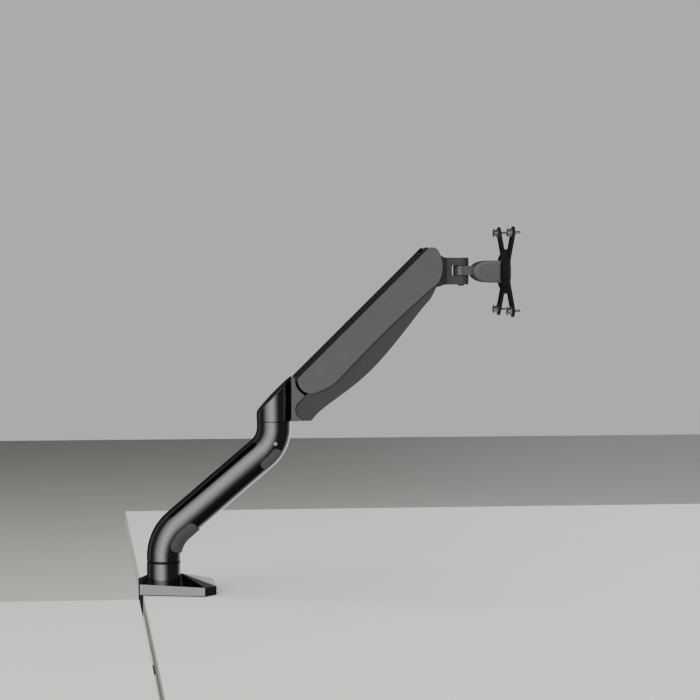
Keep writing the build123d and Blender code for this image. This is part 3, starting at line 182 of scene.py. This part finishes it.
# ---- finishes -----------------------------------------------------------------------------------
def finish_material(
    name, colour, worn, roughness, metallic=0.0, spread=0.06, grain=900.0, depth=0.02,
    tone_swing=0.12, coat=0.0, coat_roughness=0.05, edge_radius=0.5, painted_shade_from=None,
):
    """A metal or plastic finish with grain, soft handling marks, rounded and slightly worn edges.

    With its last argument set, it turns near black past that X: painted shade where a casting's ears go in
    under a cover.
    """
    material = bpy.data.materials.new(name)
    material.use_nodes = True
    tree = material.node_tree
    tree.nodes.clear()
    place = put(tree, "ShaderNodeTexCoord").outputs["Object"]
    surface = use_group(tree, grain_group, Vector=place, Size=grain)
    edges = use_group(tree, edge_group, Vector=place, Radius=edge_radius * MM)
    dull = use_group(tree, handling_group, Vector=place, Roughness=roughness, Spread=spread)
    tone = put(
        tree, "ShaderNodeMapRange", Value=surface.outputs["Tone"], From_Min=0.3, From_Max=0.7,
        To_Min=1.0 - tone_swing, To_Max=1.0 + tone_swing,
    )
    scale = tone.outputs["Result"]
    # painted shade: the colour ramps to near black past this X, where the ears go in under the cover
    if painted_shade_from is not None:
        split = put(tree, "ShaderNodeSeparateXYZ", Vector=place)
        black = put(
            tree, "ShaderNodeMapRange", Value=split.outputs["X"], From_Min=painted_shade_from,
            From_Max=painted_shade_from + 0.5 * MM, To_Min=1.0, To_Max=0.02,
        )
        scale = math_node(tree, "MULTIPLY", scale, black.outputs["Result"])
    blend = put(tree, "ShaderNodeMix", {"data_type": "RGBA"})
    fresh_input, worn_input = blend.inputs[6], blend.inputs[7]
    tree.links.new(edges.outputs["Mask"], blend.inputs["Factor"])
    tree.links.new(scaled_colour(tree, colour, scale), fresh_input)
    worn_input.default_value = (*worn, 1.0)
    bump = put(
        tree, "ShaderNodeBump", Strength=1.0, Distance=depth * MM, Height=surface.outputs["Height"],
        Normal=edges.outputs["Normal"],
    )
    shader = put(
        tree, "ShaderNodeBsdfPrincipled", Base_Color=blend.outputs[2], Roughness=dull.outputs["Roughness"],
        Metallic=metallic, IOR=1.5, Coat_Weight=coat, Coat_Roughness=coat_roughness,
        Normal=bump.outputs["Normal"],
    )
    tree.links.new(shader.outputs["BSDF"], put(tree, "ShaderNodeOutputMaterial").inputs["Surface"])
    return material


def casting_finish(name, painted_shade_from=None):
    """The dark polished casting of the base, the tube and the elbow."""
    return finish_material(
        name, (0.40, 0.40, 0.41), (0.50, 0.50, 0.50), 0.12, metallic=1.0, spread=0.03, grain=1400.0,
        depth=0.002, tone_swing=0.05, edge_radius=0.6, painted_shade_from=painted_shade_from,
    )


finishes = {
    "dark_casting": casting_finish("dark gloss metal"),
    "grey_shell": finish_material(
        "satin grey moulding", (0.098, 0.098, 0.100), (0.16, 0.16, 0.165), 0.42, spread=0.05, grain=1500.0,
        depth=0.006, tone_swing=0.03, edge_radius=0.6,
    ),
    "gloss_cover": finish_material(
        "black gloss moulding", (0.004, 0.004, 0.004), (0.02, 0.02, 0.02), 0.12, spread=0.03, grain=300.0,
        depth=0.002, coat=0.5, coat_roughness=0.03, edge_radius=0.4,
    ),
    "matte_port": finish_material(
        "matte grey moulding", (0.085, 0.085, 0.087), (0.13, 0.13, 0.13), 0.62, spread=0.06, grain=1100.0,
        depth=0.02, tone_swing=0.05, edge_radius=0.3,
    ),
    "bearing_plastic": finish_material(
        "bearing plastic", (0.008, 0.008, 0.008), (0.02, 0.02, 0.02), 0.35, spread=0.05, depth=0.004,
    ),
    "pad_rubber": finish_material(
        "pad rubber", (0.010, 0.010, 0.010), (0.03, 0.03, 0.03), 0.8, spread=0.08, grain=700.0, depth=0.05,
    ),
    "link_steel": finish_material(
        "blackened link steel", (0.020, 0.020, 0.021), (0.08, 0.08, 0.08), 0.40, metallic=0.6, spread=0.10,
        grain=350.0, depth=0.006,
    ),
    "pin_steel": finish_material(
        "ground pin steel", (0.60, 0.60, 0.61), (0.75, 0.75, 0.75), 0.18, metallic=1.0, spread=0.08,
        grain=1800.0, depth=0.003,
    ),
    "black_steel": finish_material(
        "black powder coat", (0.010, 0.010, 0.011), (0.05, 0.05, 0.05), 0.42, spread=0.08, grain=1300.0,
        depth=0.03, edge_radius=0.5,
    ),
    "spring_tube": finish_material(
        "spring tube enamel", (0.010, 0.010, 0.010), (0.06, 0.06, 0.06), 0.16, spread=0.04, coat=0.4,
    ),
    "nickel": finish_material(
        "bright nickel", (0.92, 0.91, 0.89), (0.96, 0.96, 0.95), 0.24, metallic=1.0, spread=0.06,
        grain=900.0, depth=0.003, edge_radius=0.3,
    ),
    "head_metal": finish_material(
        "dark satin casting", (0.074, 0.074, 0.076), (0.13, 0.13, 0.13), 0.32, metallic=0.3, spread=0.05,
        grain=1200.0, depth=0.008, tone_swing=0.05, edge_radius=0.7,
    ),
}
# the belly uses the side panels' satin grey made darker: painted shade on the arm's lower half
belly_shade_finish = finish_material(
    "satin grey moulding darkened as painted shade", (0.052, 0.052, 0.053), (0.10, 0.10, 0.10), 0.44, spread=0.05, grain=1500.0,
    depth=0.006, tone_swing=0.03, edge_radius=0.6,
)

elbow_low, elbow_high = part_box("elbow_washer")
ear_offset = 12.9 * MM  # from the elbow's axis to where the ears come out of its round wall
ear_start = (elbow_low.x + elbow_high.x) / 2 + ear_offset
# past ear_start the elbow casting is painted near black: painted shade where its ears go in under the cover
elbow_shaded_finish = casting_finish("dark gloss metal with painted shade past the ears", painted_shade_from=ear_start)
# the tongue is the head casting with a lighter colour, a painted highlight; its brushed sheen comes from
# metallic and roughness
tongue_lit_finish = finish_material(
    "brushed dark casting with painted highlight", (0.16, 0.16, 0.165), (0.25, 0.25, 0.25), 0.28, metallic=0.6, spread=0.06,
    grain=1200.0, depth=0.006, tone_swing=0.05, edge_radius=0.6,
)
own_finish = {
    "belly_cover": belly_shade_finish, "elbow_housing": elbow_shaded_finish, "pan_tongue": tongue_lit_finish,
    "elbow_set_screw": finishes["nickel"],
}

slot_of = {entry["node"]: entry["material_slot"] for entry in frame["record"]["subparts"]}
for node_name, node_object in nodes.items():
    node_object.data.materials.clear()
    node_object.data.materials.append(own_finish.get(node_name, finishes[slot_of[node_name]]))


# ---- thumbscrews --------------------------------------------------------------------------------
screw_square = 100 * MM
plate_wall = 3.0 * MM
screws_low, screws_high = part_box("thumbscrews")
plate_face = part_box("vesa_plate")[1].x
head_r = (screws_high.y - screws_low.y - screw_square) / 2
head_start = screws_low.x
head_length = plate_face - plate_wall - head_start
rim_r = head_r - 0.2 * MM
shoulder_r, shank_r, tip_r = 2.3 * MM, 1.95 * MM, 1.5 * MM
shank_length, tip_length = 7.4 * MM, 0.5 * MM
round_faces = 72
rib_inset, rib_height = 0.12 * MM, 0.175 * MM
strip_area = 0.4 * MM * MM  # the rims' long strips are larger than this and their chamfers smaller


def turned_steps():
    """The screw's profile from its outer end: distance from that end and radius, rims and a neck between."""
    groove_r = head_r - 1.3 * MM
    first, second = 0.36 * head_length, 0.62 * head_length
    shank_start = head_length + plate_wall
    shank_end = shank_start + shank_length
    return [
        (0.0, head_r - 1.0 * MM), (0.35 * MM, head_r - 0.35 * MM), (0.5 * MM, rim_r),
        (first - 0.4 * MM, rim_r), (first, groove_r + 0.3 * MM), (first + 0.3 * MM, groove_r),
        (second - 0.3 * MM, groove_r), (second, groove_r + 0.3 * MM), (second + 0.4 * MM, rim_r),
        (head_length - 0.4 * MM, rim_r), (head_length, head_r - 0.7 * MM),
        (head_length, shoulder_r), (shank_start, shoulder_r), (shank_start, shank_r),
        (shank_end, shank_r), (shank_end + tip_length, tip_r),
    ]


def select_only(piece):
    """Makes a piece the one selected and active object."""
    bpy.ops.object.select_all(action="DESELECT")
    piece.select_set(True)
    bpy.context.view_layer.objects.active = piece


def turn_thumbscrew():
    """A thumbscrew head with two knurled rims and a neck, its shoulder and its plain shank, along X."""
    bpy.ops.object.select_all(action="DESELECT")
    steps = turned_steps()
    bpy.ops.mesh.primitive_circle_add(
        vertices=round_faces, radius=steps[0][1], fill_type="NGON", rotation=(0, radians(90), 0),
    )
    screw = bpy.context.object
    bpy.ops.object.transform_apply(location=True, rotation=True, scale=True)
    bpy.ops.object.mode_set(mode="EDIT")
    bpy.ops.mesh.select_all(action="SELECT")
    for (before, before_r), (after, after_r) in zip(steps, steps[1:]):
        bpy.ops.mesh.extrude_region_move(TRANSFORM_OT_translate={"value": (after - before, 0, 0)})
        ratio = after_r / before_r
        bpy.ops.transform.resize(value=(1, ratio, ratio), center_override=(after, 0, 0))
    bpy.ops.mesh.select_all(action="SELECT")
    bpy.ops.mesh.remove_doubles(threshold=0.001 * MM)
    bpy.ops.mesh.normals_make_consistent(inside=False)
    bpy.ops.mesh.select_all(action="DESELECT")
    bpy.ops.object.mode_set(mode="OBJECT")
    # every other long strip on the rims is raised into a rib
    for face in screw.data.polygons:
        across = face.center.yz
        on_rim = across.length > head_r - 0.6 * MM and abs(face.normal.x) < 0.2
        turns = across.angle_signed(Vector((1, 0)), 0) / radians(360) + 1
        face.select = on_rim and face.area > strip_area and int(turns * round_faces) % 2 == 0
    bpy.ops.object.mode_set(mode="EDIT")
    bpy.ops.mesh.select_mode(type="FACE")
    bpy.ops.mesh.inset(thickness=rib_inset, depth=rib_height, use_individual=True)
    bpy.ops.object.mode_set(mode="OBJECT")
    select_only(screw)
    bpy.ops.object.shade_smooth_by_angle(angle=radians(30))
    return screw


def place_thumbscrews():
    """Four thumbscrews at the corners of the larger screw square, joined into one group."""
    first = turn_thumbscrew()
    middle_z = (screws_low.z + screws_high.z) / 2
    copies = []
    for across in (-1, 1):
        for up in (-1, 1):
            select_only(first)
            bpy.ops.object.duplicate(linked=False)
            screw = bpy.context.object
            screw.location = (head_start, across * screw_square / 2, middle_z + up * screw_square / 2)
            copies.append(screw)
    bpy.data.objects.remove(first)
    bpy.ops.object.select_all(action="DESELECT")
    for screw in copies:
        screw.select_set(True)
    bpy.context.view_layer.objects.active = copies[0]
    bpy.ops.object.join()
    group = bpy.context.object
    bpy.ops.object.transform_apply(location=True, rotation=True, scale=True)
    group.name = "knurled_thumbscrews"
    group.data.materials.clear()
    group.data.materials.append(finishes["nickel"])
    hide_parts("thumbscrews")
    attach(group, "plate")


place_thumbscrews()


# ---- desk, floor, light and camera --------------------------------------------------------------
def stage_material(name, colour, roughness):
    """A plain pale surface with a little tone."""
    material = bpy.data.materials.new(name)
    material.use_nodes = True
    tree = material.node_tree
    shader = tree.nodes["Principled BSDF"]
    place = put(tree, "ShaderNodeTexCoord").outputs["Object"]
    surface = use_group(tree, grain_group, Vector=place, Size=40.0)
    tone = put(
        tree, "ShaderNodeMapRange", Value=surface.outputs["Tone"], From_Min=0.3, From_Max=0.7,
        To_Min=0.985, To_Max=1.0,
    )
    tree.links.new(scaled_colour(tree, colour, tone.outputs["Result"]), shader.inputs["Base Color"])
    shader.inputs["Roughness"].default_value = roughness
    return material


def stage_board(name, low, high, material):
    """A pale board between two corners, softened along its edges, that isn't part of the object."""
    bpy.ops.object.select_all(action="DESELECT")
    middle = [(a + b) / 2 for a, b in zip(low, high)]
    bpy.ops.mesh.primitive_cube_add(size=1, location=middle)
    board = bpy.context.object
    board.name = name
    board.scale = [b - a for a, b in zip(low, high)]
    bpy.ops.object.transform_apply(location=True, rotation=True, scale=True)
    bevel = board.modifiers.new("soft edge", "BEVEL")
    bevel.width = 1.0 * MM
    bevel.segments = 2
    bpy.ops.object.modifier_apply(modifier=bevel.name)
    board.data.materials.append(material)
    board.visible_glossy = False


desk_thickness = 25.0 * MM
leg_wall, leg_gap = 4.0 * MM, 0.6 * MM
desk_paint = stage_material("pale desk", (0.86, 0.84, 0.79), 0.5)
leg_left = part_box("clamp_bracket")[0].x
knob_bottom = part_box("clamp_knob")[0].z
clamp_drop = 60 * MM
desk_left = leg_left + leg_wall + leg_gap
side_right = leg_left - 1.5 * MM
stage_board("desk_board", (desk_left, -2.6, -desk_thickness), (1.7, 0.95, 0.0), desk_paint)
stage_board("side_board", (-1.7, -2.6, -desk_thickness), (side_right, -0.062, 0.0), desk_paint)
floor_z = knob_bottom - clamp_drop - 0.05
stage_board("studio_floor", (-6, -6, floor_z - 0.02), (6, 6, floor_z), desk_paint)


def soft_box(name, azimuth, elevation, distance, wide, high, power):
    """A soft box aimed at the arm's middle. Azimuth 0 is in front of the arm, positive to the right."""
    middle = Vector((0.2, 0.0, 0.2))
    turn, rise = radians(azimuth), radians(elevation)
    offset = Vector((sin(turn) * cos(rise), -cos(turn) * cos(rise), sin(rise))) * distance
    data = bpy.data.lights.new(name, "AREA")
    data.shape = "RECTANGLE"
    data.size, data.size_y = wide, high
    data.energy = power
    light = bpy.data.objects.new(name, data)
    bpy.context.scene.collection.objects.link(light)
    light.location = middle + offset
    light.rotation_euler = (-offset).to_track_quat("-Z", "Y").to_euler()
    light.visible_glossy = False


soft_box("key_box", -32, 25, 3.2, 2.6, 2.0, 72)
soft_box("side_box", 120, 15, 2.6, 2.2, 1.8, 30)
soft_box("ceiling_box", 0, 88, 3.0, 3.0, 3.0, 95)

# brightness of the studio round the horizon, as degrees from the front and a grey value
studio_ring = [
    (-180, 0.03), (-140, 0.03), (-124, 0.10), (-111, 0.10), (-100, 0.03), (-88, 0.03), (-72, 0.12),
    (-58, 0.42), (-41, 0.66), (-24, 0.95), (-10, 0.80), (0, 0.52), (13, 0.19), (26, 0.035), (92, 0.03),
    (104, 0.09), (112, 0.22), (124, 0.45), (140, 0.92), (160, 1.7), (168, 1.7), (175, 0.10), (180, 0.03),
]
key_top, key_fade = radians(43), radians(47)
wall_top, wall_fade = radians(8), radians(26)


def studio_world():
    """A plain pale room for the camera, and for reflections a ring of soft light that ends overhead."""
    world = bpy.data.worlds.new("studio")
    bpy.context.scene.world = world
    world.use_nodes = True
    world.cycles.sampling_method = "NONE"
    tree = world.node_tree
    tree.nodes.clear()
    place = put(tree, "ShaderNodeTexCoord").outputs["Generated"]
    split = put(tree, "ShaderNodeSeparateXYZ", Vector=place)
    forward = math_node(tree, "MULTIPLY", split.outputs["Y"], -1.0)
    azimuth = math_node(tree, "ARCTAN2", split.outputs["X"], forward)
    turn = put(
        tree, "ShaderNodeMapRange", Value=azimuth, From_Min=radians(-180), From_Max=radians(180),
    )
    ring = put(tree, "ShaderNodeValToRGB", Fac=turn.outputs["Result"])
    stops = ring.color_ramp.elements
    for degrees_round, _ in studio_ring[1:-1]:
        stops.new((degrees_round + 180) / 360)
    for stop, (degrees_round, grey) in zip(stops, studio_ring):
        stop.position = (degrees_round + 180) / 360
        stop.color = (grey, grey, grey, 1.0)
    elevation = math_node(tree, "ARCSINE", split.outputs["Z"], 0.0)
    overhead = put(
        tree, "ShaderNodeMapRange", {"interpolation_type": "SMOOTHSTEP"}, Value=elevation,
        From_Min=key_top, From_Max=key_fade, To_Min=1.0, To_Max=0.04,
    )
    underfoot = put(
        tree, "ShaderNodeMapRange", {"interpolation_type": "SMOOTHSTEP"}, Value=elevation,
        From_Min=radians(-60), From_Max=radians(-2), To_Min=0.45, To_Max=1.0,
    )
    behind = put(tree, "ShaderNodeMapRange", Value=azimuth, From_Min=radians(92), From_Max=radians(104))
    over_wall = put(
        tree, "ShaderNodeMapRange", {"interpolation_type": "SMOOTHSTEP"}, Value=elevation,
        From_Min=wall_top, From_Max=wall_fade, To_Min=0.0, To_Max=0.92,
    )
    wall_loss = math_node(tree, "MULTIPLY", behind.outputs["Result"], over_wall.outputs["Result"])
    wall_left = math_node(tree, "SUBTRACT", 1.0, wall_loss)
    height_mask = math_node(tree, "MULTIPLY", overhead.outputs["Result"], underfoot.outputs["Result"])
    height_mask = math_node(tree, "MULTIPLY", height_mask, wall_left)
    room = put(tree, "ShaderNodeBackground", Color=ring.outputs["Color"], Strength=height_mask)
    backdrop = put(tree, "ShaderNodeBackground", Color=(0.50, 0.53, 0.525, 1.0), Strength=1.0)
    path = put(tree, "ShaderNodeLightPath")
    mix = put(tree, "ShaderNodeMixShader")
    tree.links.new(path.outputs["Is Camera Ray"], mix.inputs[0])
    tree.links.new(room.outputs[0], mix.inputs[1])
    tree.links.new(backdrop.outputs[0], mix.inputs[2])
    tree.links.new(mix.outputs[0], put(tree, "ShaderNodeOutputWorld").inputs["Surface"])


studio_world()

camera_data = bpy.data.cameras.new("camera")
camera_data.lens = 121.9
camera_data.sensor_width = 36.0
camera = bpy.data.objects.new("camera", camera_data)
bpy.context.scene.collection.objects.link(camera)
camera.location = (-0.1181, -3.0281, 0.4378)
camera.rotation_euler = (radians(90 - 2.415), 0, radians(-6.74))
bpy.context.scene.camera = camera
